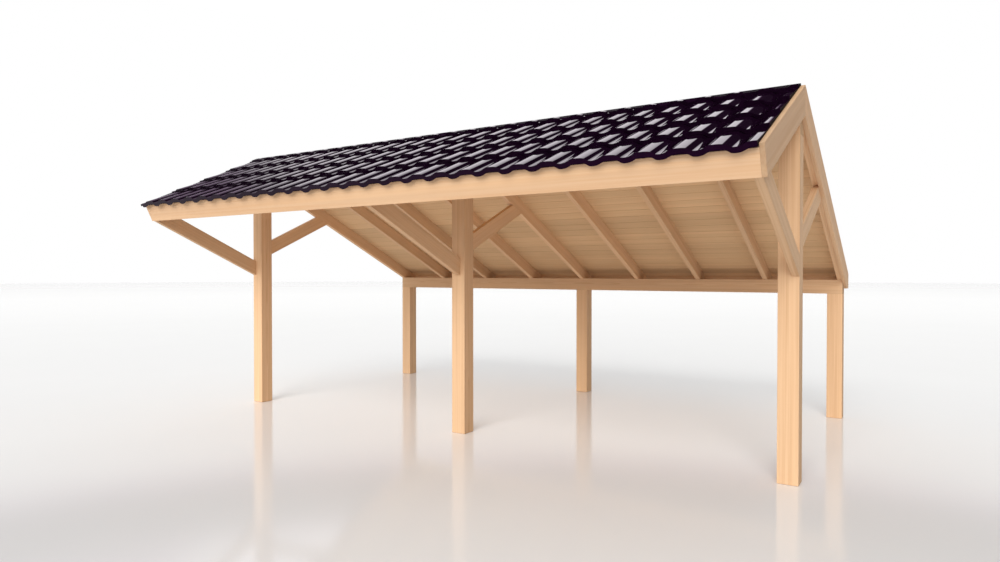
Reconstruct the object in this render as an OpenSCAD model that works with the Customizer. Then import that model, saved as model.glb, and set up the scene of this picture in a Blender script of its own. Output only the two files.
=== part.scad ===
// Open pole barn: two rows of posts carry a pitched roof with a short front slope
// that reaches far out over the entrance and a long rear slope that falls to a low beam.
// Lengths are in millimetres. X runs along the ridge, +Y to the back, +Z up.
// The origin lies on the ground, at the middle of the whole building's outline.

/* [Plan] */
// Distance between post centres along the ridge, for each of the two bays
bay = 4000; // [3000:50:5000]
// Distance between the front and the rear row of posts, centre to centre
row_spacing = 3660; // [2800:20:4800]
// Width of the square posts
post_w = 200; // [140:5:240]

/* [Heights] */
// Clear height below the rear beam
rear_clear = 1785; // [1500:5:2400]
// Pitch of both roof slopes, in degrees
pitch = 24.7; // [18:0.1:30]

/* [Beams] */
// Least width of the ridge beam's top in front of the ridge line
ridge_land = 20; // [10:5:60]
// Depth of the rear beam, which is as wide as the posts
rear_beam_d = 200; // [140:5:260]
// Depth of the ridge beam from its bottom to its top edge
ridge_beam_d = 220; // [160:5:300]
// How far the ridge line lies in front of the front posts' centres
ridge_offset = 75; // [0:5:120]

/* [Rafters and braces] */
// Number of rafter pairs
rafters = 9; // [5:2:9]
// Width of a rafter
rafter_w = 70; // [60:5:100]
// Depth of a rafter
rafter_d = 180; // [140:5:220]
// Width of a brace, which lies in the plane of a rafter
brace_w = 70; // [60:5:100]
// Depth of a brace
brace_d = 200; // [140:5:240]
// Slope of the braces, in degrees
brace_angle = 24.7; // [18:0.1:35]
// How far behind the front posts a rear brace's underside meets the rafter
rear_brace_reach = 1340; // [900:10:1700]

/* [Roof edges] */
// Reach of the roof in front of the front posts, to the top corner of the barge boards
front_reach = 1834; // [900:2:2000]
// Reach of the rear fascia behind the rear posts
rear_reach = 155; // [100:5:400]
// Thickness of the fascias
fascia_t = 40; // [25:1:50]
// How far the rear fascia reaches below the top of the rear beam
rear_fascia_drop = 127; // [60:1:180]
// Length by which the front fascia stops short of the left posts' outer faces
fascia_short = 55; // [0:5:80]
// Thickness of the barge boards
barge_t = 41; // [25:1:50]
// Depth of the right barge boards
barge_d = 270; // [240:5:320]
// Depth of the left barge boards, which lie under the tiles
left_barge_d = 160; // [100:5:180]
// How far the left barge boards end behind the front fascia
left_barge_setback = 40; // [0:5:80]

/* [Roof covering] */
// Thickness of the roof boards
board_t = 16; // [12:1:28]
// Height of the tile layer above the roof boards, from the pans' bottom to the crests
tile_h = 59; // [40:1:80]
// How far the right barge boards stand above the roof boards
barge_rise = 33; // [0:1:60]
// Overhang of the tiles past the fascias
tile_eave = 50; // [30:5:90]
// Overhang of the tiles past the left barge boards
tile_verge = 10; // [0:1:40]

/* [Hidden] */
SIDES = ["left", "middle", "right"];
PAIRS = [for (i = [1 : rafters]) i];

wood = [0.87, 0.69, 0.50];
wood_light = [0.90, 0.74, 0.56];
board_wood = [0.80, 0.63, 0.46];
tile_black = [0.09, 0.07, 0.11];

// Where the posts' outer faces and the barge boards' faces are along X
outer_x = bay + post_w / 2;
barge_x = outer_x + barge_t;
tile_left_x = -barge_x - tile_verge;

// Depths below the top plane of the right barge boards, square to the slope
deck_n = barge_rise;
board_n = deck_n + board_t;
rafter_n = board_n + rafter_d;
crest_n = deck_n - tile_h;
left_barge_n = deck_n + left_barge_d;

// The ridge line and the planes of the rear beam
ridge_y = -ridge_offset;
rear_beam_y = row_spacing - post_w / 2;
rear_beam_top = rear_clear + rear_beam_d;
rafter_drop = rafter_n / cos(pitch);
apex_z = rear_beam_top + (rear_beam_y - ridge_y) * tan(pitch) + rafter_drop;
ridge_beam_z = apex_z - rafter_drop - ridge_beam_d;

// Distances down the slopes, measured in the top plane from the ridge
front_u = (ridge_y + post_w / 2 + front_reach) / cos(pitch);
fascia_back_u = front_u - fascia_t;
rear_face_y = row_spacing + post_w / 2 + rear_reach;
fascia_back_y = rear_face_y - fascia_t;
rear_fascia_z = rear_beam_top - rear_fascia_drop;
tile_front_u = front_u + tile_eave;
tile_rear_u = rear_u(rear_face_y, deck_n) + tile_eave;

// The whole outline, which sets the origin
front_edge_y = front_pt(tile_front_u, crest_n)[0];
rear_edge_y = max(rear_pt(tile_rear_u, deck_n)[0], rear_pt(tile_rear_u, crest_n)[0]);
centre_x = (tile_left_x + barge_x) / 2;
centre_y = (front_edge_y + rear_edge_y) / 2;

// A point u down a slope and n below its top plane, as [y, z]
function front_pt(u, n) =
    [ridge_y - u * cos(pitch) + n * sin(pitch), apex_z - u * sin(pitch) - n * cos(pitch)];
function rear_pt(u, n) =
    [ridge_y + u * cos(pitch) - n * sin(pitch), apex_z - u * sin(pitch) - n * cos(pitch)];
// The distance down a slope at which a layer n deep starts at the ridge's plumb plane
function ridge_u(n) = n * tan(pitch);
// The distance down the rear slope at which a layer n deep reaches y
function rear_u(y, n) = (y - ridge_y + n * sin(pitch)) / cos(pitch);
// The height of the rear slope at y, n below its top plane
function rear_z(y, n) = apex_z - (y - ridge_y) * tan(pitch) - n / cos(pitch);
// Where the line through p along d crosses the line through q along e
function meet(p, d, q, e) =
    p + d * (((q[0] - p[0]) * e[1] - (q[1] - p[1]) * e[0]) / (d[0] * e[1] - d[1] * e[0]));
// The left face of rafter i along X
function rafter_x(i) = -outer_x + (i - 1) * (2 * outer_x - rafter_w) / (rafters - 1);
// The centre of post s along X, and the left face of the brace in its plane
function post_x(s) = (s - 1) * bay;
function brace_x(s) = s == 0 ? -outer_x : s == 1 ? -brace_w / 2 : outer_x - brace_w;

down_front = [-cos(pitch), -sin(pitch)];
down_rear = [cos(pitch), -sin(pitch)];

// Puts the building's outline over the origin
module on_plan() {
    translate([-centre_x, -centre_y, 0]) children();
}

// A profile in Y and Z, drawn out from x0 to x1
module along_x(x0, x1, points) {
    on_plan()
        translate([x0, 0, 0])
            rotate([90, 0, 90])
                linear_extrude(height = x1 - x0) polygon(points);
}

// A layer of the front slope from depth n0 to n1 that ends square to the slope at u
module front_layer(x0, x1, n0, n1, u) {
    along_x(x0, x1, [
        front_pt(ridge_u(n0), n0), front_pt(u, n0), front_pt(u, n1), front_pt(ridge_u(n1), n1)]);
}

// A layer of the rear slope from depth n0 to n1 that ends plumb at y
module rear_layer(x0, x1, n0, n1, y) {
    along_x(x0, x1, [
        rear_pt(ridge_u(n0), n0), [y, rear_z(y, n0)], [y, rear_z(y, n1)], rear_pt(ridge_u(n1), n1)]);
}

module post(x, y, height) {
    color(wood)
        on_plan()
            translate([x - post_w / 2, y - post_w / 2, 0]) cube([post_w, post_w, height]);
}

// The ridge beam is as wide as the posts or reaches to the ridge, and its top is planed to both slopes
module ridge_beam() {
    back = post_w / 2;
    front = max(back, ridge_offset + ridge_land);
    front_top = rear_z(ridge_y, rafter_n) - (front + ridge_y) * tan(pitch);
    color(wood)
        along_x(-outer_x, outer_x, [
            [-front, ridge_beam_z], [back, ridge_beam_z], [back, rear_z(back, rafter_n)],
            [ridge_y, rear_z(ridge_y, rafter_n)], [-front, front_top]]);
}

module rear_beam() {
    color(wood)
        on_plan()
            translate([-outer_x, rear_beam_y, rear_clear]) cube([2 * outer_x, post_w, rear_beam_d]);
}

// A front brace rises from its post to the front rafter and to the lower back edge of the fascia
module brace_front(s) {
    up = [-cos(brace_angle), sin(brace_angle)];
    end = front_pt(fascia_back_u, barge_d);
    foot = [-post_w / 2, end[1] + (end[0] + post_w / 2) * tan(brace_angle)];
    top = foot + [0, brace_d / cos(brace_angle)];
    color(wood)
        along_x(brace_x(s), brace_x(s) + brace_w, [
            foot, top, meet(top, up, front_pt(0, rafter_n), down_front),
            front_pt(fascia_back_u, rafter_n), end]);
}

// A rear brace rises from its post to the underside of the rear rafter
module brace_rear(s) {
    up = [cos(brace_angle), sin(brace_angle)];
    end_y = post_w / 2 + rear_brace_reach;
    end = [end_y, rear_z(end_y, rafter_n)];
    foot = end - [rear_brace_reach, rear_brace_reach * tan(brace_angle)];
    top = foot + [0, brace_d / cos(brace_angle)];
    color(wood)
        along_x(brace_x(s), brace_x(s) + brace_w, [
            foot, end, meet(top, up, rear_pt(0, rafter_n), down_rear), top]);
}

module rafter_front(i) {
    color(wood)
        front_layer(rafter_x(i), rafter_x(i) + rafter_w, board_n, rafter_n, fascia_back_u);
}

// A rear rafter is notched over the rear beam, and its tail is cut level with the fascia
module rafter_rear(i) {
    beam_back = rear_beam_y + post_w;
    tail_y = min(fascia_back_y, ridge_y + (apex_z - rafter_drop - rear_fascia_z) / tan(pitch));
    color(wood)
        along_x(rafter_x(i), rafter_x(i) + rafter_w, [
            rear_pt(ridge_u(board_n), board_n),
            [fascia_back_y, rear_z(fascia_back_y, board_n)],
            [fascia_back_y, max(rear_fascia_z, rear_z(fascia_back_y, rafter_n))],
            [tail_y, rear_z(tail_y, rafter_n)],
            [beam_back, rear_z(beam_back, rafter_n)],
            [beam_back, rear_beam_top],
            [rear_beam_y, rear_beam_top],
            rear_pt(ridge_u(rafter_n), rafter_n)]);
}

module boards_front() {
    color(board_wood) front_layer(-outer_x, outer_x, deck_n, board_n, fascia_back_u);
}

module boards_rear() {
    color(board_wood) rear_layer(-outer_x, outer_x, deck_n, board_n, fascia_back_y);
}

// The front fascia stands square to the slope, between the roof boards' top and the barge's foot
module fascia_front() {
    color(wood_light)
        along_x(-outer_x + fascia_short, outer_x, [
            front_pt(fascia_back_u, deck_n), front_pt(front_u, deck_n),
            front_pt(front_u, barge_d), front_pt(fascia_back_u, barge_d)]);
}

module fascia_rear() {
    color(wood_light)
        along_x(-outer_x, outer_x, [
            [fascia_back_y, rear_fascia_z], [rear_face_y, rear_fascia_z],
            [rear_face_y, rear_z(rear_face_y, deck_n)],
            [fascia_back_y, rear_z(fascia_back_y, deck_n)]]);
}

module barge_right_front() {
    color(wood_light) front_layer(outer_x, barge_x, 0, barge_d, front_u);
}

// The foot of the rear barge board is cut plumb and level with the rear fascia
module barge_right_rear() {
    level_y = ridge_y + (apex_z - barge_d / cos(pitch) - rear_fascia_z) / tan(pitch);
    color(wood_light)
        along_x(outer_x, barge_x, [
            rear_pt(ridge_u(0), 0), [rear_face_y, rear_z(rear_face_y, 0)],
            [rear_face_y, rear_fascia_z], [level_y, rear_fascia_z],
            rear_pt(ridge_u(barge_d), barge_d)]);
}

module barge_left_front() {
    color(wood_light)
        front_layer(-barge_x, -outer_x, deck_n, left_barge_n, fascia_back_u - left_barge_setback);
}

module barge_left_rear() {
    color(wood_light) rear_layer(-barge_x, -outer_x, deck_n, left_barge_n, rear_face_y);
}

// The tile layers are plain slabs from the pans' bottom to the crests
module tiles_front() {
    color(tile_black) front_layer(tile_left_x, outer_x, crest_n, deck_n, tile_front_u);
}

module tiles_rear() {
    color(tile_black)
        along_x(tile_left_x, outer_x, [
            rear_pt(ridge_u(crest_n), crest_n), rear_pt(tile_rear_u, crest_n),
            rear_pt(tile_rear_u, deck_n), rear_pt(ridge_u(deck_n), deck_n)]);
}

for (s = [0 : 2]) {
    post(post_x(s), 0, ridge_beam_z);
    post(post_x(s), row_spacing, rear_clear);
    brace_front(s);
    brace_rear(s);
}
for (i = PAIRS) {
    rafter_front(i);
    rafter_rear(i);
}
ridge_beam();
rear_beam();
boards_front();
boards_rear();
fascia_front();
fascia_rear();
barge_right_front();
barge_right_rear();
barge_left_front();
barge_left_rear();
tiles_front();
tiles_rear();
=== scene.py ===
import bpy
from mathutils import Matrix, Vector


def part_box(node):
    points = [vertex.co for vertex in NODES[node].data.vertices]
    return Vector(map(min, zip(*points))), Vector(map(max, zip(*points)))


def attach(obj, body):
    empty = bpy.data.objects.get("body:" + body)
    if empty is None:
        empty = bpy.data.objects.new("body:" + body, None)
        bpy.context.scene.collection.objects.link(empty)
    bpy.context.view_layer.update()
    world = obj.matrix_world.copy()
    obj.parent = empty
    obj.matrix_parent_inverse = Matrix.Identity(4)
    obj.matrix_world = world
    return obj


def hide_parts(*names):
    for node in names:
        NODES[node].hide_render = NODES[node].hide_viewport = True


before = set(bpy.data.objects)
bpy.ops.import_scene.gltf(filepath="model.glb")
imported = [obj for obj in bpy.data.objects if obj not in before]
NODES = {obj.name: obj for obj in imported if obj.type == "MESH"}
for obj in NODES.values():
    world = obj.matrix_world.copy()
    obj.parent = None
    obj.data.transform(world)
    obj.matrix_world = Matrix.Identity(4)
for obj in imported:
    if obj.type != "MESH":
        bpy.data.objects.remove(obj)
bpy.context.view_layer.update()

import math
import random

import bmesh
import bpy
from bpy.props import FloatProperty, FloatVectorProperty, IntProperty, PointerProperty
from bpy.types import Operator, Panel, PropertyGroup
from mathutils import Matrix, Vector

bl_info = {
    "name": "Pole Barn",
    "version": (1, 0, 0),
    "blender": (4, 5, 0),
    "location": "3D View > Sidebar > Pole Barn",
    "description": "Finishes an open timber pole barn with planed timbers, boards and pantiles",
    "category": "Add Mesh",
}

BODY = "root"
SIDEWAYS = Vector((1, 0, 0))


def named(*starts):
    """The CAD nodes whose names begin with one of these words, in order."""
    return [name for name in sorted(NODES) if name.startswith(starts)]


# ---------------------------------------------------------------- shader and node trees

class Value:
    """A socket in a node tree. Sums and products of values add Math nodes."""

    def __init__(self, tree, socket):
        self.tree, self.socket = tree, socket

    def __add__(self, other):
        return self.tree.math("ADD", self, other)

    def __sub__(self, other):
        return self.tree.math("SUBTRACT", self, other)

    def __rsub__(self, other):
        return self.tree.math("SUBTRACT", other, self)

    def __mul__(self, other):
        return self.tree.math("MULTIPLY", self, other)

    def __truediv__(self, other):
        return self.tree.math("DIVIDE", self, other)

    def __rtruediv__(self, other):
        return self.tree.math("DIVIDE", other, self)

    def __pow__(self, other):
        return self.tree.math("POWER", self, other)

    def __neg__(self):
        return self.tree.math("MULTIPLY", self, -1.0)

    def __gt__(self, other):
        return self.tree.math("GREATER_THAN", self, other)

    __radd__, __rmul__ = __add__, __mul__


class Tree:
    """A node tree under construction."""

    def __init__(self, nodes):
        self.tree = nodes

    def node(self, kind, settings=None, inputs=None, output=0):
        """Adds any node: its settings first, then the values or links of its sockets."""
        made = self.tree.nodes.new(kind)
        for name, value in (settings or {}).items():
            setattr(made, name, value)
        for name, value in (inputs or {}).items():
            if isinstance(value, Value):
                self.tree.links.new(value.socket, made.inputs[name])
            elif value is not None:
                made.inputs[name].default_value = value
        return Value(self, made.outputs[output]) if len(made.outputs) else made

    def other(self, value, output):
        """Another output of the node that a value comes from."""
        return Value(self, value.socket.node.outputs[output])

    def math(self, operation, *terms, clamp=False):
        inputs = dict(enumerate(terms))
        return self.node("ShaderNodeMath", {"operation": operation, "use_clamp": clamp}, inputs)

    def larger(self, one, two, clamp=False):
        return self.math("MAXIMUM", one, two, clamp=clamp)

    def split(self, vector):
        first = self.node("ShaderNodeSeparateXYZ", None, {0: vector})
        return first, self.other(first, 1), self.other(first, 2)

    def vector(self, x, y, z):
        return self.node("ShaderNodeCombineXYZ", None, {0: x, 1: y, 2: z})

    def ease(self, value, low, high, start=0.0, end=1.0):
        """Goes smoothly from start to end while value goes from low to high."""
        return self.node("ShaderNodeMapRange", {"interpolation_type": "SMOOTHSTEP"},
                         {0: value, 1: low, 2: high, 3: start, 4: end})

    def mix(self, one, two, factor, blend="MIX"):
        return self.node("ShaderNodeMix", {"data_type": "RGBA", "blend_type": blend},
                         {0: factor, 6: one, 7: two}, output=2)


class Finish(Tree):
    """A procedural material on one Principled shader."""

    def __init__(self, name):
        self.material = bpy.data.materials.new(name)
        self.material.use_nodes = True
        super().__init__(self.material.node_tree)
        self.tree.nodes.clear()

    def attribute(self, name, output="Fac"):
        return self.node("ShaderNodeAttribute", {"attribute_name": name}, output=output)

    def place(self):
        return self.node("ShaderNodeTexCoord", output="Object")

    def noise(self, vector, scale, detail=2.0, roughness=0.5):
        return self.node("ShaderNodeTexNoise", {"noise_dimensions": "3D"},
                         {"Vector": vector, "Scale": scale, "Detail": detail,
                          "Roughness": roughness}, output="Fac")

    def bump(self, height, distance, strength):
        return self.node("ShaderNodeBump", None,
                         {"Height": height, "Distance": distance, "Strength": strength})

    def surface(self, **inputs):
        sockets = {name.replace("_", " "): value for name, value in inputs.items()}
        shader = self.node("ShaderNodeBsdfPrincipled", None, sockets)
        self.node("ShaderNodeOutputMaterial", None, {"Surface": shader})
        return self.material


# ---------------------------------------------------------------- settings

class TimberSettings(PropertyGroup):
    arris: FloatProperty(
        name="Arris", description="Width taken off each long edge", default=0.003,
        min=0.0005, max=0.01, unit="LENGTH")
    ring: FloatProperty(
        name="Growth ring", description="Distance between two growth rings", default=0.0042,
        min=0.001, max=0.02, unit="LENGTH")
    colour: FloatVectorProperty(
        name="Wood", description="Colour of the pale early wood", size=3, subtype="COLOR",
        default=(0.770, 0.518, 0.316), min=0, max=1)
    trim: FloatVectorProperty(
        name="Trim wood", description="Colour of the fascia and barge boards", size=3,
        subtype="COLOR", default=(0.688, 0.462, 0.288), min=0, max=1)
    dark: FloatVectorProperty(
        name="Ring", description="Colour of the darker late wood", size=3, subtype="COLOR",
        default=(0.57, 0.312, 0.152), min=0, max=1)
    warm: FloatVectorProperty(
        name="Warm bands", description="Colour of the broad warm bands", size=3,
        subtype="COLOR", default=(0.88, 0.58, 0.335), min=0, max=1)
    seed: IntProperty(
        name="Frame seed", description="Seed of the grain of posts, beams, braces and rafters",
        default=11)
    trim_seed: IntProperty(
        name="Trim seed", description="Seed of the grain of fascia and barge boards",
        default=23)


class BoardSettings(PropertyGroup):
    cover: FloatProperty(
        name="Cover width", description="Distance from joint to joint down the slope",
        default=0.1775, min=0.06, max=0.3, unit="LENGTH")
    first: FloatProperty(
        name="First joint", description="Distance of the first joint down from the ridge",
        default=0.1725, min=0, max=0.3, unit="LENGTH")
    bevel: FloatProperty(
        name="Joint bevel", description="Width of the bevel on each lower edge of a board",
        default=0.0045, min=0.001, max=0.01, unit="LENGTH")
    gap: FloatProperty(
        name="Joint gap", description="Open gap between two boards", default=0.0012,
        min=0.0, max=0.006, unit="LENGTH")
    colour: FloatVectorProperty(
        name="Wood", description="Colour of the boards, a little yellower", size=3,
        subtype="COLOR", default=(0.750, 0.512, 0.292), min=0, max=1)
    seed: IntProperty(name="Seed", description="Seed of the boards' grain", default=31)


class TileSettings(PropertyGroup):
    module: FloatProperty(
        name="Cover width", description="Distance from roll to roll along the eaves",
        default=0.2935, min=0.15, max=0.5, unit="LENGTH")
    gauge: FloatProperty(
        name="Gauge", description="Distance from nose to nose up the slope", default=0.485,
        min=0.2, max=0.6, unit="LENGTH")
    lap: FloatProperty(
        name="Head lap", description="Length of a tile under the next course", default=0.075,
        min=0.03, max=0.2, unit="LENGTH")
    roll: FloatProperty(
        name="First roll", description="Place of the first roll's shoulder from the left verge",
        default=-0.0225, min=-0.3, max=0.3, unit="LENGTH")
    rear_roll: FloatProperty(
        name="First roll behind",
        description="Place of the rear slope's first roll from its verge strip, as part of "
        "the cover width", default=0.38, min=0, max=1, subtype="FACTOR")
    wave: FloatProperty(
        name="Wave", description="Height of a roll above its pan", default=0.0330,
        min=0.01, max=0.08, unit="LENGTH")
    thickness: FloatProperty(
        name="Nose", description="Height of the tile's front face", default=0.034,
        min=0.004, max=0.04, unit="LENGTH")
    lip: FloatProperty(
        name="Lip", description="Drop of the eaves tiles' noses below the boards",
        default=0.016, min=0.0, max=0.03, unit="LENGTH")
    tail: FloatProperty(
        name="Tail", description="Thickness of the tile's upper end", default=0.003,
        min=0.002, max=0.02, unit="LENGTH")
    nose: FloatProperty(
        name="Overhang", description="How far the eaves tiles stand past the fascia",
        default=0.05, min=0.0, max=0.08, unit="LENGTH")
    # The strip set here is dark; its dark coat is painted shade for the shadow line under the
    # tile noses.
    eaves_shade_drop: FloatProperty(
        name="Drip edge", description="Height of the metal strip on top of the fascia",
        default=0.011, min=0.008, max=0.05, unit="LENGTH")
    ridge_cover: FloatProperty(
        name="Ridge cover", description="Level width of the ridge strip on each slope",
        default=0.100, min=0.03, max=0.2, unit="LENGTH")
    ridge_rise: FloatProperty(
        name="Ridge rise", description="Height of the ridge strip above the boards, plumb",
        default=0.0578, min=0.03, max=0.09, unit="LENGTH")
    verge_cover: FloatProperty(
        name="Verge cover", description="Width of the flat metal strip along the left verge",
        default=0.125, min=0.05, max=0.3, unit="LENGTH")
    verge_rise: FloatProperty(
        name="Verge rise", description="Height of the left verge strip above the boards",
        default=0.018, min=0.008, max=0.04, unit="LENGTH")
    glaze: FloatVectorProperty(
        name="Glaze", description="Colour of the glaze", size=3, subtype="COLOR",
        default=(0.0042, 0.0010, 0.0044), min=0, max=1)
    gloss: FloatVectorProperty(
        name="Gloss", description="Tint of what the glaze mirrors", size=3, subtype="COLOR",
        default=(0.16, 0.03, 0.17), min=0, max=1)
    seed: IntProperty(name="Seed", description="Seed of the small differences", default=7)


class StageSettings(PropertyGroup):
    lens: FloatProperty(
        name="Lens", description="Focal length on a 36 mm wide frame", default=24.4729,
        min=10, max=100, unit="CAMERA")
    side: FloatProperty(
        name="Side", description="Distance of the camera right of the middle front post",
        default=5.2076, unit="LENGTH")
    back: FloatProperty(
        name="Back", description="Distance of the camera in front of the middle front post",
        default=7.2356, unit="LENGTH")
    height: FloatProperty(
        name="Eye height", description="Height of the camera above the floor",
        default=2.0917, min=0.2, max=10, unit="LENGTH")
    turn: FloatProperty(
        name="Turn", description="Heading of the camera, left of the barn's rear",
        default=0.5690054, subtype="ANGLE")
    tilt: FloatProperty(
        name="Tilt", description="Tilt of the camera above the level", default=-0.0127188,
        subtype="ANGLE")
    key: FloatProperty(
        name="Key light", description="Strength of the soft light from the front",
        default=2.5, min=0, max=20)
    low_sky: FloatProperty(
        name="Low sky", description="Top of the white band all round", default=0.44,
        subtype="ANGLE")
    screen_foot: FloatProperty(
        name="Screen foot", description="Lower edge of the screen on the left",
        default=0.45, subtype="ANGLE")
    screen_top: FloatProperty(
        name="Screen top", description="Upper edge of the screen on the left",
        default=0.78, subtype="ANGLE")
    screen: FloatProperty(
        name="Screen", description="Brightness of the screen on the left", default=1.4,
        min=0, max=5)
    zenith: FloatProperty(
        name="Dark sky", description="What the glaze mirrors outside the screen",
        default=0.03, min=0, max=1)
    overhead: FloatProperty(
        name="Overhead", description="Soft light from above", default=0.52, min=0, max=2)


# ---------------------------------------------------------------- finishes

def wood_finish(name, light, settings, streak=0.30):
    """Planed softwood: growth rings round a pith along the grain, broad streaks and
    fine fibres. The attribute grain holds metres along the stick and across it."""
    wood = Finish(name)
    grain = wood.attribute("grain", "Vector")
    along, across, deep = wood.split(grain)
    tone = wood.attribute("tone")
    end = wood.attribute("end_grain")

    def figure(lengthwise, crosswise, detail, roughness=0.5):
        """Noise drawn out along the grain, with this many patches a metre each way."""
        place = wood.vector(along * lengthwise, across * crosswise, deep * crosswise)
        return wood.noise(place, 1.0, detail, roughness)

    wander = figure(0.55, 5.0, 2.0) - 0.5
    streaks = figure(0.45, 34.0, 3.0, 0.6)
    broad = figure(0.25, 9.0, 1.0)
    fibre = figure(9.0, 420.0, 2.0, 0.6)
    sway = wood.noise(wood.vector(along * 0.8, 7.3, tone * 9.0), 1.0, 1.0) - 0.5
    radius = wood.math("SQRT", (across + sway * 0.03) ** 2.0 + (deep + wander * 0.02) ** 2.0)
    turn = wood.math("FRACT", radius / settings.ring + wander * 3.0)
    late = wood.ease(turn, 0.35, 0.93) * wood.ease(turn, 0.94, 1.0, 1.0, 0.0)

    depth = wood.ease(streaks, 0.34, 0.70) * streak + late * 0.30 + (fibre - 0.5) * 0.16
    base = wood.mix((*light, 1), (*settings.dark, 1), wood.larger(depth, 0.0, clamp=True))
    warm = wood.mix(base, (*settings.warm, 1), wood.ease(broad, 0.45, 0.75) * 0.35)
    # end darkens real end grain, and on the boards' joint bevels it is painted shade in the
    # grooves.
    value = (tone * 0.16 + 0.92) * (1.0 - end * 0.22)
    toned = wood.mix(warm, wood.vector(value, value, value), 1.0, "MULTIPLY")
    height = fibre * 0.5 + late * 0.35 + end * wood.noise(grain, 900.0, 1.0) * 1.5
    return wood.surface(
        Base_Color=toned, Roughness=0.52 + (1.0 - late) * 0.10 + end * 0.25,
        Normal=wood.bump(height, 0.0004, 0.6), Specular_IOR_Level=0.08)


def glaze_finish(name, colour, gloss):
    """Dark aubergine glaze, glossy, with a little pooling and each tile a shade apart."""
    glaze = Finish(name)
    place = glaze.place()
    tone = glaze.attribute("tone")
    pool = glaze.noise(place, 9.0)
    speck = glaze.ease(glaze.noise(place, 310.0, 1.0), 0.66, 0.78)
    pale = tuple(part * 2.1 for part in colour)
    body = glaze.mix((*colour, 1), (*pale, 1), glaze.ease(pool, 0.35, 0.8) * 0.5 + tone * 0.35)
    ripple = glaze.noise(place, 24.0) + glaze.noise(place, 160.0) * 0.1
    return glaze.surface(
        Base_Color=body, Roughness=0.03 + pool * 0.02 + speck * 0.10,
        Normal=glaze.bump(ripple, 0.0003, 0.2), IOR=1.5, Specular_Tint=(*gloss, 1))


def coated_finish(name, colour):
    """Dark coated sheet metal, matt, with a little dust."""
    coat = Finish(name)
    place = coat.place()
    dust = coat.noise(place, 14.0, 3.0)
    pale = tuple(part * 2.5 for part in colour)
    return coat.surface(
        Base_Color=coat.mix((*colour, 1), (*pale, 1), coat.ease(dust, 0.45, 0.8)),
        Roughness=0.42 + dust * 0.2, Specular_IOR_Level=0.02,
        Normal=coat.bump(coat.noise(place, 60.0), 0.0002, 0.3))


def floor_finish(name):
    """Pale floor, smooth enough to mirror the posts faintly."""
    floor = Finish(name)
    shade = floor.noise(floor.place(), 0.6, 1.0)
    return floor.surface(
        Base_Color=floor.mix((0.91, 0.91, 0.91, 1), (0.93, 0.93, 0.93, 1), shade),
        Roughness=0.11, IOR=1.45)


# ---------------------------------------------------------------- meshes

def piece(name, mesh, slot, *stands_for):
    """Puts a finished mesh in the scene as a piece of the barn."""
    made = bpy.data.objects.new(name, mesh)
    bpy.context.scene.collection.objects.link(made)
    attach(made, BODY)
    if stands_for:
        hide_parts(*stands_for)
    return made


def mesh_of(name, shape):
    """Turns a bmesh into a plain mesh and frees it."""
    mesh = bpy.data.meshes.new(name)
    shape.to_mesh(mesh)
    shape.free()
    return mesh


def clean_copy(node):
    """The CAD solid as whole faces instead of loose triangles."""
    shape = bmesh.new()
    shape.from_mesh(NODES[node].data)
    bmesh.ops.remove_doubles(shape, verts=shape.verts, dist=1e-5)
    bmesh.ops.dissolve_limit(shape, angle_limit=math.radians(0.5), verts=shape.verts,
                             edges=shape.edges)
    return shape


def drawn_out(outline, start, stop, sideways=False, split_ends=False):
    """A closed outline drawn out into a bar, along Y or sideways along X."""
    shape = bmesh.new()
    ends = [[shape.verts.new((at, a, z) if sideways else (a, at, z)) for a, z in outline]
            for at in (start, stop)]
    for first in range(len(outline)):
        second = (first + 1) % len(outline)
        shape.faces.new((ends[0][first], ends[0][second], ends[1][second], ends[1][first]))
    caps = [shape.faces.new(ends[0]), shape.faces.new(list(reversed(ends[1])))]
    if split_ends:
        bmesh.ops.triangulate(shape, faces=caps)
    bmesh.ops.recalc_face_normals(shape, faces=shape.faces)
    return shape


def saw_off(mesh, planes):
    """Saws a mesh of closed shells off beyond each plane, and closes the cuts."""
    shape = bmesh.new()
    shape.from_mesh(mesh)
    for point, away in planes:
        geometry = shape.verts[:] + shape.edges[:] + shape.faces[:]
        cut = bmesh.ops.bisect_plane(shape, geom=geometry, dist=1e-6, plane_co=point,
                                     plane_no=away, clear_outer=True)
        rims = [item for item in cut["geom_cut"]
                if isinstance(item, bmesh.types.BMEdge) and item.is_boundary]
        if rims:
            bmesh.ops.triangle_fill(shape, edges=rims, use_beauty=True, normal=away)
    shape.to_mesh(mesh)
    shape.free()
    return mesh


def store(mesh, name, kind, domain, values):
    """Writes one attribute of a mesh from a plain list of values."""
    made = mesh.attributes.new(name, kind, domain)
    field = "vector" if kind == "FLOAT_VECTOR" else "value"
    made.data.foreach_set(field, values)


# ---------------------------------------------------------------- timbers

TREE_LENGTH = 40                # each stick starts anywhere along this many metres of grain
BOXED_PITH = 0.03               # the pith is at most this far from a thick stick's middle
SAWN_OFFSET = 0.05              # how far a thinner stick is moved sideways in the tree
SAWN_PITH = (0.06, 0.13)        # how deep its middle is from the pith, least and most
END_GRAIN = 0.35                # a face that leans this much across the grain shows its end


def grain_axes(shape):
    """The direction of the stick's longest edge, and the two directions across it."""
    longest = max(shape.edges, key=lambda edge: edge.calc_length())
    along = (longest.verts[1].co - longest.verts[0].co).normalized()
    up_or_right = Vector((0.9, 0.3, 1))
    along = along if along.dot(up_or_right) > 0 else -along
    across = Vector((0, 1, 0)) if abs(along.x) > 0.9 else SIDEWAYS.copy()
    return along, across, along.cross(across).normalized()


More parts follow.
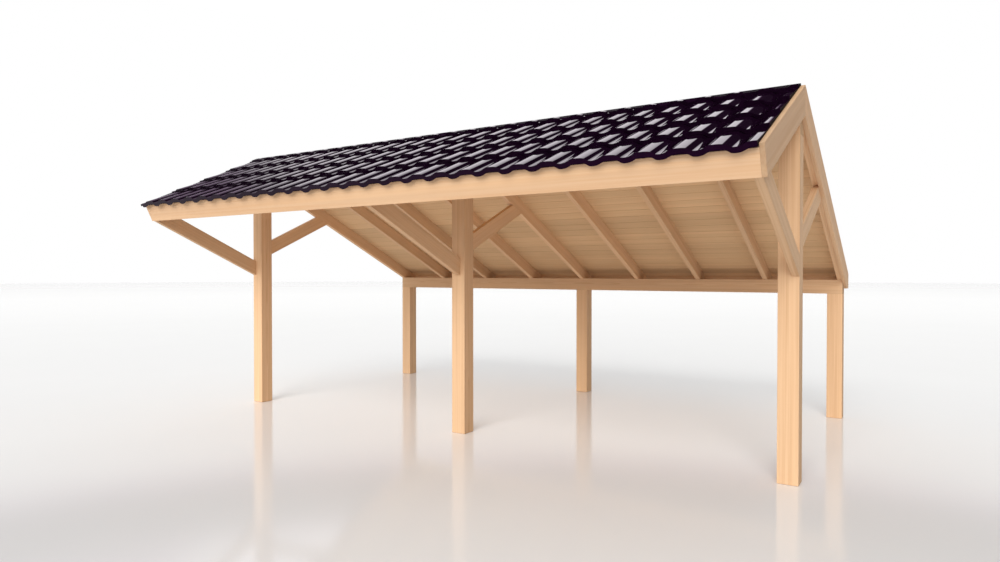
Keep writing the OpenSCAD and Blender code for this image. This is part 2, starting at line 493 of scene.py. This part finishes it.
def write_grain(mesh, axes, draw, pith, tone):
    """Stores where each point lies in the tree that the stick was sawn from."""
    along, across, deep = axes
    middle = sum((v.co for v in mesh.vertices), Vector()) / len(mesh.vertices)
    shift = draw.uniform(0, TREE_LENGTH)
    grain = []
    for vert in mesh.vertices:
        at = vert.co - middle
        grain += [at.dot(along) + shift, at.dot(across) + pith[0], at.dot(deep) + pith[1]]
    store(mesh, "grain", "FLOAT_VECTOR", "POINT", grain)
    store(mesh, "tone", "FLOAT", "POINT", [tone] * len(mesh.vertices))
    store(mesh, "end_grain", "FLOAT", "FACE",
          [float(abs(face.normal.dot(along)) > END_GRAIN) for face in mesh.polygons])


def timber(node, settings, draw, finish, slot, boxed):
    """A planed stick: its CAD solid with eased arrises and a grain of its own."""
    shape = clean_copy(node)
    axes = grain_axes(shape)
    outer = [edge for edge in shape.edges if edge.is_convex]
    bmesh.ops.bevel(shape, geom=outer, offset=settings.arris, segments=2, profile=0.6,
                    affect="EDGES", clamp_overlap=True)
    mesh = mesh_of(node + "_planed", shape)
    if boxed:
        pith = (draw.uniform(-BOXED_PITH, BOXED_PITH), draw.uniform(-BOXED_PITH, BOXED_PITH))
    else:
        pith = (draw.uniform(-SAWN_OFFSET, SAWN_OFFSET),
                draw.choice((-1, 1)) * draw.uniform(*SAWN_PITH))
    write_grain(mesh, axes, draw, pith, draw.uniform(0, 1))
    mesh.materials.append(finish)
    return piece(node + "_planed", mesh, slot, node)


# ---------------------------------------------------------------- geometry nodes

class Repeat(Tree):
    """A Geometry Nodes tree with named inputs, ending in a finished real mesh."""

    def __init__(self, name):
        super().__init__(bpy.data.node_groups.new(name, "GeometryNodeTree"))
        self.tree.interface.new_socket("Geometry", in_out="OUTPUT",
                                       socket_type="NodeSocketGeometry")
        self.entry = self.tree.nodes.new("NodeGroupInput")
        self.given = {}

    def take(self, name, kind, value):
        """A named input and the value that this use gives it."""
        socket = self.tree.interface.new_socket(name, in_out="INPUT",
                                                socket_type="NodeSocket" + kind)
        self.given[socket.identifier] = value
        return Value(self, next(out for out in self.entry.outputs
                                if out.identifier == socket.identifier))

    def copies(self, points, pattern, **inputs):
        """Puts the pattern object's mesh on the points."""
        source = self.node("GeometryNodeObjectInfo", None, {0: pattern}, output="Geometry")
        return self.node("GeometryNodeInstanceOnPoints", None,
                         {"Points": points, "Instance": source, **inputs})

    def chance(self, seed):
        """A number from 0 to 1 for each copy."""
        return self.node("FunctionNodeRandomValue", {"data_type": "FLOAT"}, {"Seed": seed},
                         output=1)

    def chance_vector(self, low, high, seed):
        """A vector between two corners for each copy."""
        return self.node("FunctionNodeRandomValue", {"data_type": "FLOAT_VECTOR"},
                         {0: low, 1: high, "Seed": seed})

    def mark(self, copies, name, kind, value):
        """Gives each copy an attribute of its own."""
        return self.node("GeometryNodeStoreNamedAttribute",
                         {"data_type": kind, "domain": "INSTANCE"},
                         {"Geometry": copies, "Name": name, "Value": value})

    def end(self, geometry, finish):
        real = self.node("GeometryNodeRealizeInstances", None, {0: geometry})
        done = self.node("GeometryNodeSetMaterial", None, {"Geometry": real, "Material": finish})
        leave = self.tree.nodes.new("NodeGroupOutput")
        self.tree.links.new(done.socket, leave.inputs[0])

    def mesh(self, name):
        """Runs the tree once and returns its result as a plain mesh."""
        holder = bpy.data.objects.new(name, bpy.data.meshes.new(name))
        bpy.context.scene.collection.objects.link(holder)
        modifier = holder.modifiers.new(name, "NODES")
        modifier.node_group = self.tree
        for identifier, value in self.given.items():
            modifier[identifier] = value
        holder.update_tag()
        seen = holder.evaluated_get(bpy.context.evaluated_depsgraph_get())
        result = bpy.data.meshes.new_from_object(seen)
        bpy.data.objects.remove(holder)
        result.name = name
        if not result.polygons:
            raise RuntimeError(f"{name} came out empty")
        return result


def pattern_object(name, shape):
    """A mesh that a tree repeats. It is taken away again when the tree has run."""
    made = bpy.data.objects.new(name, mesh_of(name, shape))
    bpy.context.scene.collection.objects.link(made)
    return made


# ---------------------------------------------------------------- roof slopes

class Slope:
    """One roof slope: its ridge line, its direction down the slope and its normal."""

    def __init__(self, slab):
        mesh = NODES[slab].data
        top = max((face for face in mesh.polygons if face.normal.z > 0.5),
                  key=lambda face: face.area)
        self.normal = top.normal.copy()
        self.down = SIDEWAYS.cross(self.normal)
        if self.down.z > 0:
            self.down.negate()
        self.low, self.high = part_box(slab)
        self.rear = self.down.y > 0
        self.outward = Vector((0, 1 if self.rear else -1, 0))
        heights = [vert.co.dot(self.normal) for vert in mesh.vertices]
        self.bottom, self.top = min(heights), max(heights)
        self.ridge_y = self.low.y if self.rear else self.high.y
        self.eaves_y = self.high.y if self.rear else self.low.y
        self.fascia = "fascia_rear" if self.rear else "fascia_front"

    def ridge(self, height):
        """The point on the ridge's plumb plane at a distance along the normal."""
        z = (height - self.ridge_y * self.normal.y) / self.normal.z
        return Vector((0, self.ridge_y, z))

    def fascia_top(self):
        """The point where the slab's underside meets the outer face of its fascia."""
        low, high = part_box(self.fascia)
        y = high.y if self.rear else low.y
        return Vector((0, y, (self.bottom - y * self.normal.y) / self.normal.z))

    def frame(self, origin):
        """Placement whose Y runs up the slope, Z along its normal, X along the eaves."""
        up = -self.down
        columns = Matrix((up.cross(self.normal), up, self.normal)).transposed().to_4x4()
        return Matrix.Translation(origin) @ columns


# ---------------------------------------------------------------- roof boards

BOARD_TREE = ((0.0, -0.05, 0.06), (40.0, 0.05, 0.12))   # a board lay between these corners
PAINTED_JOINT_SHADE = 0.6               # painted shade in the joints: how far a bevel is darkened, as a share of end grain


def board_pattern(name, settings, length, depth):
    """One board across the slope, with a bevel on both lower edges."""
    half, bevel = (settings.cover - settings.gap) / 2, settings.bevel
    outline = [(-half, -depth + bevel), (-half + bevel, -depth), (half - bevel, -depth),
               (half, -depth + bevel), (half, 0), (-half, 0)]
    shape = drawn_out(outline, -length / 2, length / 2, sideways=True)
    return pattern_object(name, shape)


def board_rows(name, board, count, settings, finish, seed):
    """Boards side by side down Y, each with a tone and a place in a tree of its own."""
    tree = Repeat(name)
    pattern = tree.take("Board", "Object", board)
    number = tree.take("Boards", "Int", count)
    cover = tree.take("Cover width", "Float", settings.cover)
    start = tree.take("First middle", "Float", settings.cover / 2 - settings.first)
    wood = tree.take("Finish", "Material", finish)
    salt = tree.take("Seed", "Int", seed)
    line = tree.node("GeometryNodeMeshLine", {"mode": "OFFSET"},
                     {"Count": number, "Start Location": tree.vector(0.0, start, 0.0),
                      "Offset": tree.vector(0.0, -cover, 0.0)})
    laid = tree.copies(line, pattern)
    toned = tree.mark(laid, "tone", "FLOAT", tree.chance(salt))
    pith = tree.chance_vector(*BOARD_TREE, salt + 1)
    tree.end(tree.mark(toned, "pith", "FLOAT_VECTOR", pith), wood)
    return tree.mesh(name)


def write_board_grain(mesh, settings):
    """Turns each board's place in its tree into the grain of its points."""
    offsets = [tuple(item.vector) for item in mesh.attributes["pith"].data]
    grain = []
    for vert, (shift, side, back) in zip(mesh.vertices, offsets):
        across = (vert.co.y + settings.first) % settings.cover
        grain += [vert.co.x + shift, across + side, vert.co.z + back]
    mesh.attributes.remove(mesh.attributes["pith"])
    store(mesh, "grain", "FLOAT_VECTOR", "POINT", grain)
    # The joint bevels get painted shade for the dark grooves; the sawn ends of the boards darken
    # as real end grain.
    store(mesh, "end_grain", "FLOAT", "FACE",
          [PAINTED_JOINT_SHADE if abs(face.normal.y) > 0.3 else float(abs(face.normal.x) > 0.9)
           for face in mesh.polygons])


def lay_boards(name, slope, settings, finish, seed):
    """Beveled boards along the ridge, laid down one slope."""
    depth = slope.top - slope.bottom
    run = abs(slope.high.y - slope.low.y) / slope.normal.z + depth
    count = math.ceil((run - settings.first) / settings.cover) + 2
    board = board_pattern(name + "_board", settings, slope.high.x - slope.low.x, depth)
    mesh = board_rows(name, board, count, settings, finish, seed)
    bpy.data.objects.remove(board)
    write_board_grain(mesh, settings)
    mesh.transform(slope.frame(slope.ridge(slope.top)))
    mesh.transform(Matrix.Translation(((slope.low.x + slope.high.x) / 2, 0, 0)))
    eaves = Vector((0, slope.eaves_y, 0))
    return saw_off(mesh, [(slope.ridge(0), -slope.outward), (eaves, slope.outward)])


# ---------------------------------------------------------------- pantiles

# A tile's section, as parts of its cover width and of its wave: a lapped edge, a flat
# roll, a short flank, a flat pan and the rise to the next roll.
TILE_SECTION = ((-0.182, 0.30), (-0.105, 0.63), (-0.030, 0.93), (0.080, 0.998),
                (0.170, 1.0), (0.260, 0.965), (0.335, 0.895), (0.390, 0.775),
                (0.430, 0.60), (0.490, 0.220), (0.535, 0.065), (0.595, 0.0), (0.665, 0.008),
                (0.745, 0.09), (0.818, 0.30))
SIDE_GAP = 0.0012               # play between two tiles of a course
SCARF = 0.006                   # how far a tile's underside is set to its right
LIP_DEPTH = 0.8                 # part of the overhang that the lip fills
SEAT_GAP = 0.0004               # play between two courses
UNEVEN = Vector((0.0006, 0.0008, 0.0006))   # most that a tile is turned, in radians
SAW_GAP = 0.001                 # play between the sawn tiles and the strips beside them
SAWN = 0.99                     # a tile's face turned this far sideways was sawn


def tile_shape(settings, lip=0.0):
    """One pantile, nose at Y 0 and running up Y, with its pan's underside on Z 0.
    The tiles of the eaves course have a lip that hangs down in front of the boards."""
    length = settings.gauge + settings.lap
    shape = bmesh.new()
    section = [(x * (settings.module - SIDE_GAP), z * settings.wave) for x, z in TILE_SECTION]
    behind = settings.nose * LIP_DEPTH
    below = ((0.0, lip), (behind, 0.0), (length, 0.0)) if lip else ((0.0, 0.0), (length, 0.0))
    rows = [[shape.verts.new((x, y, z + high)) for x, z in section]
            for y, high in ((length, settings.tail), (0.0, settings.thickness))]
    rows += [[shape.verts.new((x + SCARF, y, z - drop)) for x, z in section]
             for y, drop in below]
    for number, row in enumerate(rows):
        following = rows[(number + 1) % len(rows)]
        for step in range(len(section) - 1):
            face = shape.faces.new((row[step], row[step + 1], following[step + 1],
                                    following[step]))
            face.smooth = row[step].co.y != following[step].co.y
    shape.faces.new([row[0] for row in rows])
    shape.faces.new([row[-1] for row in reversed(rows)])
    for edge in shape.edges:
        edge.smooth = all(face.smooth for face in edge.link_faces)
    bmesh.ops.recalc_face_normals(shape, faces=shape.faces)
    return shape


def tile_field(name, columns, courses, settings, finish, seed):
    """A field of tiles round the origin. The first course is the eaves course and lies
    flat; the others rest on the tiles below them and so tip a little."""
    tile = pattern_object(name + "_tile", tile_shape(settings))
    eaves_tile = pattern_object(name + "_eaves_tile", tile_shape(settings, settings.lip))
    length = settings.gauge + settings.lap
    seat = settings.tail + (settings.thickness - settings.tail) * settings.lap / length
    lift = (seat + SEAT_GAP) * length / settings.gauge

    tree = Repeat(name)
    pattern = tree.take("Tile", "Object", tile)
    lipped = tree.take("Eaves tile", "Object", eaves_tile)
    across = tree.take("Columns", "Int", columns)
    rows = tree.take("Courses", "Int", courses)
    module = tree.take("Cover width", "Float", settings.module)
    gauge = tree.take("Gauge", "Float", settings.gauge)
    raised = tree.take("Lift", "Float", lift)
    tilt = tree.take("Tilt", "Float", -math.atan(lift / length))
    glaze = tree.take("Finish", "Material", finish)
    salt = tree.take("Seed", "Int", seed)
    grid = tree.node("GeometryNodeMeshGrid", None,
                     {"Size X": module * (across - 1.0), "Size Y": gauge * (rows - 1.0),
                      "Vertices X": across, "Vertices Y": rows})
    up = tree.split(tree.node("GeometryNodeInputPosition"))[1]
    later = up > (gauge * (rows - 1.0) * -0.5 + 0.01)
    lifted = tree.node("GeometryNodeSetPosition", None,
                       {"Geometry": grid, "Offset": tree.vector(0.0, 0.0, later * raised)})
    turn = tree.node("ShaderNodeVectorMath", {"operation": "ADD"},
                     {0: tree.vector(later * tilt, 0.0, 0.0),
                      1: tree.chance_vector(-UNEVEN, UNEVEN, salt)})
    field = tree.copies(lifted, pattern, Rotation=turn, Selection=later)
    eaves = tree.copies(lifted, lipped, Rotation=turn,
                        Selection=tree.math("LESS_THAN", later, 0.5))
    laid = tree.node("GeometryNodeJoinGeometry", None, {0: field})
    tree.tree.links.new(eaves.socket, laid.socket.node.inputs[0])
    tree.end(tree.mark(laid, "tone", "FLOAT", tree.chance(salt + 1)), glaze)
    mesh = tree.mesh(name)
    bpy.data.objects.remove(tile)
    bpy.data.objects.remove(eaves_tile)
    return mesh


def lay_tiles(name, slope, settings, finish, seed):
    """Pantiles in straight columns, from one verge to the other and up to the ridge."""
    ridge = slope.ridge(slope.bottom)
    run = (slope.fascia_top() - ridge).dot(slope.down) + settings.nose
    courses = math.ceil(run / settings.gauge) + 1
    columns = math.ceil((slope.high.x - slope.low.x) / settings.module) + 2
    mesh = tile_field(name, columns, courses, settings, finish, seed)

    nose = ridge + slope.down * run
    left = slope.low.x + settings.verge_cover
    first = slope.low.x + settings.roll
    if slope.rear:
        first = left + settings.module * (columns - 1 - settings.rear_roll)
    half_width = settings.module * (columns - 1) / 2
    half_run = settings.gauge * (courses - 1) / 2
    mesh.transform(Matrix.Translation((half_width, half_run, 0)))
    mesh.transform(slope.frame(Vector((0, nose.y, nose.z))))
    mesh.transform(Matrix.Translation((first, 0, 0)))
    top_end = slope.ridge(0) + slope.outward * (settings.ridge_cover + SAW_GAP)
    return saw_off(mesh, [(top_end, -slope.outward),
                          (Vector((left + SAW_GAP, 0, 0)), -SIDEWAYS),
                          (Vector((slope.high.x, 0, 0)), SIDEWAYS)])


def finish_tiles(mesh, glaze, coat):
    """Glazes the tiles, apart from the faces where they were sawn along the verges."""
    mesh.materials.clear()
    mesh.materials.append(glaze)
    mesh.materials.append(coat)
    for face in mesh.polygons:
        face.material_index = int(abs(face.normal.x) > SAWN)


# ---------------------------------------------------------------- metal strips

STRIP_SHEET = 0.003             # thickness of the verge and ridge strips


def folded_sheet(name, outline, start, stop):
    """A closed outline in X and Z, drawn out along Y as folded sheet metal."""
    return mesh_of(name, drawn_out(outline, start, stop, split_ends=True))


def dark_drip_edge_for_eaves_shade(slope, settings):
    """A dark metal strip along the top of a fascia, with a hem at its foot. Its dark coat is
    painted shade for the shadow line under the tile noses.
    """
    low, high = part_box(slope.fascia)
    end_gap, clear, sheet, hem, hem_high = 0.002, 0.0003, 0.0013, 0.0042, 0.0035
    drop = settings.eaves_shade_drop
    outline = ((-clear - sheet, 0.0), (-clear, 0.0), (-clear, -drop), (-clear - hem, -drop),
               (-clear - hem, hem_high - drop), (-clear - sheet, hem_high - drop + 0.001))
    half = (high.x - low.x) / 2 - end_gap
    mesh = folded_sheet(slope.fascia + "_drip_edge", outline, -half, half)
    mesh.transform(Matrix.Rotation(-math.pi / 2, 4, "Z"))
    mesh.transform(slope.frame(slope.fascia_top()))
    mesh.transform(Matrix.Translation(((low.x + high.x) / 2, 0, 0)))
    return mesh


def verge_strip(slope, settings):
    """The flat metal strip over the left barge board, with an edge folded down."""
    sheet, wide, rise, drop = STRIP_SHEET, settings.verge_cover, settings.verge_rise, 0.009
    outline = [(0.0, -drop), (0.0, rise), (wide, rise), (wide, rise - sheet),
               (sheet, rise - sheet), (sheet, -drop)]
    if slope.rear:
        outline = [(-x, z) for x, z in outline]
    face, past_ridge = slope.fascia_top(), 0.05
    run = (slope.ridge(slope.bottom) - face).dot(-slope.down)
    name = slope.fascia.replace("fascia", "verge_strip")
    mesh = folded_sheet(name, outline, 0.0, run + past_ridge)
    mesh.transform(slope.frame(face))
    mesh.transform(Matrix.Translation((slope.low.x, 0, 0)))
    return saw_off(mesh, [(slope.ridge(0), -slope.outward)])


def ridge_strip(slope, settings):
    """The low metal strip that covers the tiles' upper ends along the ridge."""
    sheet, wide = STRIP_SHEET, settings.ridge_cover
    over_verge, end_gap, foot_gap = 0.01, 0.002, 0.002
    fall = abs(slope.normal.y) / slope.normal.z
    crown = slope.ridge(slope.bottom)
    high = crown.z + settings.ridge_rise
    foot = crown.z - wide * fall + foot_gap
    half = [(0.0, high), (wide, high - wide * fall), (wide, foot), (wide - sheet, foot),
            (wide - sheet, high - (wide - sheet) * fall - sheet), (0.0, high - sheet)]
    outline = half + [(-y, z) for y, z in reversed(half[1:-1])]
    left = slope.low.x + settings.verge_cover - over_verge
    mesh = folded_sheet("ridge_strip", outline, -left, end_gap - slope.high.x)
    mesh.transform(Matrix.Rotation(math.pi / 2, 4, "Z"))
    mesh.transform(Matrix.Translation((0, crown.y, 0)))
    return mesh


# ---------------------------------------------------------------- stage

FLOOR_RADIUS = 150
FLOOR_DROP = 0.002              # keeps the floor clear of the posts' feet


def place_camera(scene, settings):
    """Stands the camera in front of the barn, to the right of its middle front post."""
    low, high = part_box("post_front_middle")
    middle = (low + high) / 2
    camera = bpy.data.cameras.new("viewpoint")
    camera.lens, camera.sensor_width = settings.lens, 36
    camera.clip_end = 500
    eye = bpy.data.objects.new("viewpoint", camera)
    eye.location = (middle.x + settings.side, middle.y - settings.back, settings.height)
    eye.rotation_euler = (math.pi / 2 + settings.tilt, 0, settings.turn)
    scene.collection.objects.link(eye)
    scene.camera = eye


def lay_floor(scene):
    shape = bmesh.new()
    bmesh.ops.create_circle(shape, cap_ends=True, segments=96, radius=FLOOR_RADIUS)
    mesh = mesh_of("floor", shape)
    mesh.materials.append(floor_finish("pale_floor"))
    floor = bpy.data.objects.new("floor", mesh)
    floor.location.z = -FLOOR_DROP
    scene.collection.objects.link(floor)


def hang_key(scene, settings):
    """A broad, soft key light from the front, which nothing mirrors."""
    spread, lean, swing = math.radians(40), math.radians(62), math.radians(12)
    sun = bpy.data.lights.new("soft_key", "SUN")
    sun.energy, sun.angle = settings.key, spread
    sun.color = (1.0, 0.985, 0.96)
    lamp = bpy.data.objects.new("soft_key", sun)
    lamp.rotation_euler = (lean, 0, swing)
    lamp.visible_glossy = False
    scene.collection.objects.link(lamp)


def studio_world(settings):
    """White to the camera. The barn is lit by a white band all round, a ceiling and a
    screen on the left. The glaze mirrors that screen in a dark room with a bright foot."""
    world = bpy.data.worlds.new("studio")
    world.use_nodes = True
    world.node_tree.nodes.clear()
    sky = Tree(world.node_tree)
    x, y, z = sky.split(sky.node("ShaderNodeTexCoord", output="Generated"))
    flat = sky.math("SQRT", x ** 2.0 + y ** 2.0) + 0.0001
    leftward, rightward, forward = -x / flat, x / flat, -y / flat

    def edge(height, angle, start=0.0, end=1.0):
        """A soft level edge at an angle above the horizon."""
        return sky.ease(height, math.sin(angle), math.sin(angle) + 0.02, start, end)

    # The screen grows taller towards its far end, and both of its ends are soft.
    taller = sky.ease(leftward, 0.45, 0.72, 0.0, 0.1)
    foot = edge(z + taller, settings.screen_foot)
    top = edge(z - taller * 1.6, settings.screen_top, 1.0, 0.0)
    near_end = sky.ease(leftward, 0.200, 0.226)
    far_end = sky.ease(leftward, 0.79, 0.88, 1.0, 0.35)
    screen = foot * top * near_end * far_end * settings.screen

    # The band gives more light from the front and less from the right.
    right = sky.ease(rightward, 0.2, 0.9)
    front = sky.ease(forward, 0.3, 0.9)
    band = edge(z, settings.low_sky, 1.0, 0.0) * (1.0 - right * 0.82 + front * 0.32)
    ceiling = settings.overhead * (1.0 - right * 0.4)
    light = sky.larger(band + screen * 0.3, ceiling)

    horizon = sky.ease(z, 0.25, 0.29, 1.0, 0.0)
    room = sky.ease(-y, -0.1, 0.4, settings.zenith, 0.3)
    mirrored = sky.larger(sky.larger(horizon, screen), room)

    camera = sky.node("ShaderNodeLightPath")
    glossy = sky.other(camera, "Is Glossy Ray")
    level = sky.larger(light * (1.0 - glossy) + mirrored * glossy, camera)
    seen = sky.larger(mirrored, 1.0 - glossy, clamp=True)
    tint = sky.mix((0.8, 0.35, 0.85, 1), (1, 1, 1, 1), seen)
    tint = sky.mix(tint, (1.0, 0.94, 0.99, 1), screen * glossy * 0.7, "MULTIPLY")
    back = sky.node("ShaderNodeBackground", None, {"Color": tint, "Strength": level})
    sky.node("ShaderNodeOutputWorld", None, {"Surface": back})
    return world


# ---------------------------------------------------------------- operators

class POLEBARN_OT_stage(Operator):
    """Sets the camera, the floor and the soft studio light"""
    bl_idname = "polebarn.stage"
    bl_label = "Stage"

    def execute(self, context):
        settings = context.scene.pole_barn_stage
        place_camera(context.scene, settings)
        lay_floor(context.scene)
        hang_key(context.scene, settings)
        context.scene.world = studio_world(settings)
        context.scene.view_settings.view_transform = "Standard"
        return {"FINISHED"}


class POLEBARN_OT_frame_timbers(Operator):
    """Planes the posts, beams, braces and rafters"""
    bl_idname = "polebarn.frame_timbers"
    bl_label = "Frame Timbers"

    def execute(self, context):
        settings = context.scene.pole_barn_timber
        finish = wood_finish("planed_frame_timber", settings.colour, settings)
        draw = random.Random(settings.seed)
        for node in named("post_", "ridge_beam", "rear_beam"):
            timber(node, settings, draw, finish, "timber_frame", boxed=True)
        for node in named("brace_", "rafter_"):
            timber(node, settings, draw, finish, "timber_frame", boxed=False)
        return {"FINISHED"}


class POLEBARN_OT_trim_boards(Operator):
    """Planes the fascia and barge boards"""
    bl_idname = "polebarn.trim_boards"
    bl_label = "Trim Boards"

    def execute(self, context):
        settings = context.scene.pole_barn_timber
        finish = wood_finish("planed_trim_board", settings.trim, settings, streak=0.34)
        draw = random.Random(settings.trim_seed)
        for node in named("fascia_", "barge_"):
            timber(node, settings, draw, finish, "trim_boards", boxed=False)
        return {"FINISHED"}


class POLEBARN_OT_roof_boards(Operator):
    """Lays the beveled boards on the rafters"""
    bl_idname = "polebarn.roof_boards"
    bl_label = "Roof Boards"

    def execute(self, context):
        timbers, boards = context.scene.pole_barn_timber, context.scene.pole_barn_boards
        finish = wood_finish("roof_boarding", boards.colour, timbers, streak=0.14)
        for number, node in enumerate(named("boards_")):
            mesh = lay_boards(node + "_laid", Slope(node), boards, finish, boards.seed + number)
            piece(node + "_laid", mesh, "roof_boards", node)
        return {"FINISHED"}


class POLEBARN_OT_pantiles(Operator):
    """Lays the glazed pantiles on both slopes, and the metal strips at their edges"""
    bl_idname = "polebarn.pantiles"
    bl_label = "Pantiles"

    def execute(self, context):
        settings = context.scene.pole_barn_tiles
        glaze = glaze_finish("aubergine_glaze", settings.glaze, settings.gloss)
        coat = coated_finish("coated_sheet", settings.glaze)

        def fit(strip):
            strip.materials.append(coat)
            piece(strip.name, strip, "glazed_tiles")

        for number, node in enumerate(named("tiles_")):
            slope = Slope(node)
            mesh = lay_tiles(node + "_laid", slope, settings, glaze, settings.seed + number)
            finish_tiles(mesh, glaze, coat)
            piece(node + "_laid", mesh, "glazed_tiles", node)
            # The dark strip on each fascia is painted shade for the shadow line under the tile
            # noses.
            fit(dark_drip_edge_for_eaves_shade(slope, settings))
            fit(verge_strip(slope, settings))
        fit(ridge_strip(slope, settings))
        return {"FINISHED"}


class POLEBARN_PT_sidebar(Panel):
    """Lists the barn's settings and its building steps"""
    bl_idname = "POLEBARN_PT_sidebar"
    bl_label = "Pole Barn"
    bl_space_type = "VIEW_3D"
    bl_region_type = "UI"
    bl_category = "Pole Barn"

    def draw(self, context):
        for name, label, operators in PARTS:
            box = self.layout.box()
            box.label(text=label)
            settings = getattr(context.scene, name)
            for field in settings.__annotations__:
                box.prop(settings, field)
            for operator in operators:
                box.operator(operator)


PARTS = (
    ("pole_barn_stage", "Stage", ("polebarn.stage",)),
    ("pole_barn_timber", "Timber", ("polebarn.frame_timbers", "polebarn.trim_boards")),
    ("pole_barn_boards", "Roof boards", ("polebarn.roof_boards",)),
    ("pole_barn_tiles", "Pantiles", ("polebarn.pantiles",)),
)
GROUPS = {"pole_barn_stage": StageSettings, "pole_barn_timber": TimberSettings,
          "pole_barn_boards": BoardSettings, "pole_barn_tiles": TileSettings}
CLASSES = (TimberSettings, BoardSettings, TileSettings, StageSettings,
           POLEBARN_OT_stage, POLEBARN_OT_frame_timbers, POLEBARN_OT_trim_boards,
           POLEBARN_OT_roof_boards, POLEBARN_OT_pantiles, POLEBARN_PT_sidebar)


def register():
    for each in CLASSES:
        bpy.utils.register_class(each)
    for name, group in GROUPS.items():
        setattr(bpy.types.Scene, name, PointerProperty(type=group))


def unregister():
    for name in GROUPS:
        delattr(bpy.types.Scene, name)
    for each in reversed(CLASSES):
        bpy.utils.unregister_class(each)


def main():
    register()
    for part in PARTS:
        for operator in part[2]:
            group, step = operator.split(".")
            getattr(getattr(bpy.ops, group), step)()


if __name__ == "__main__":
    main()
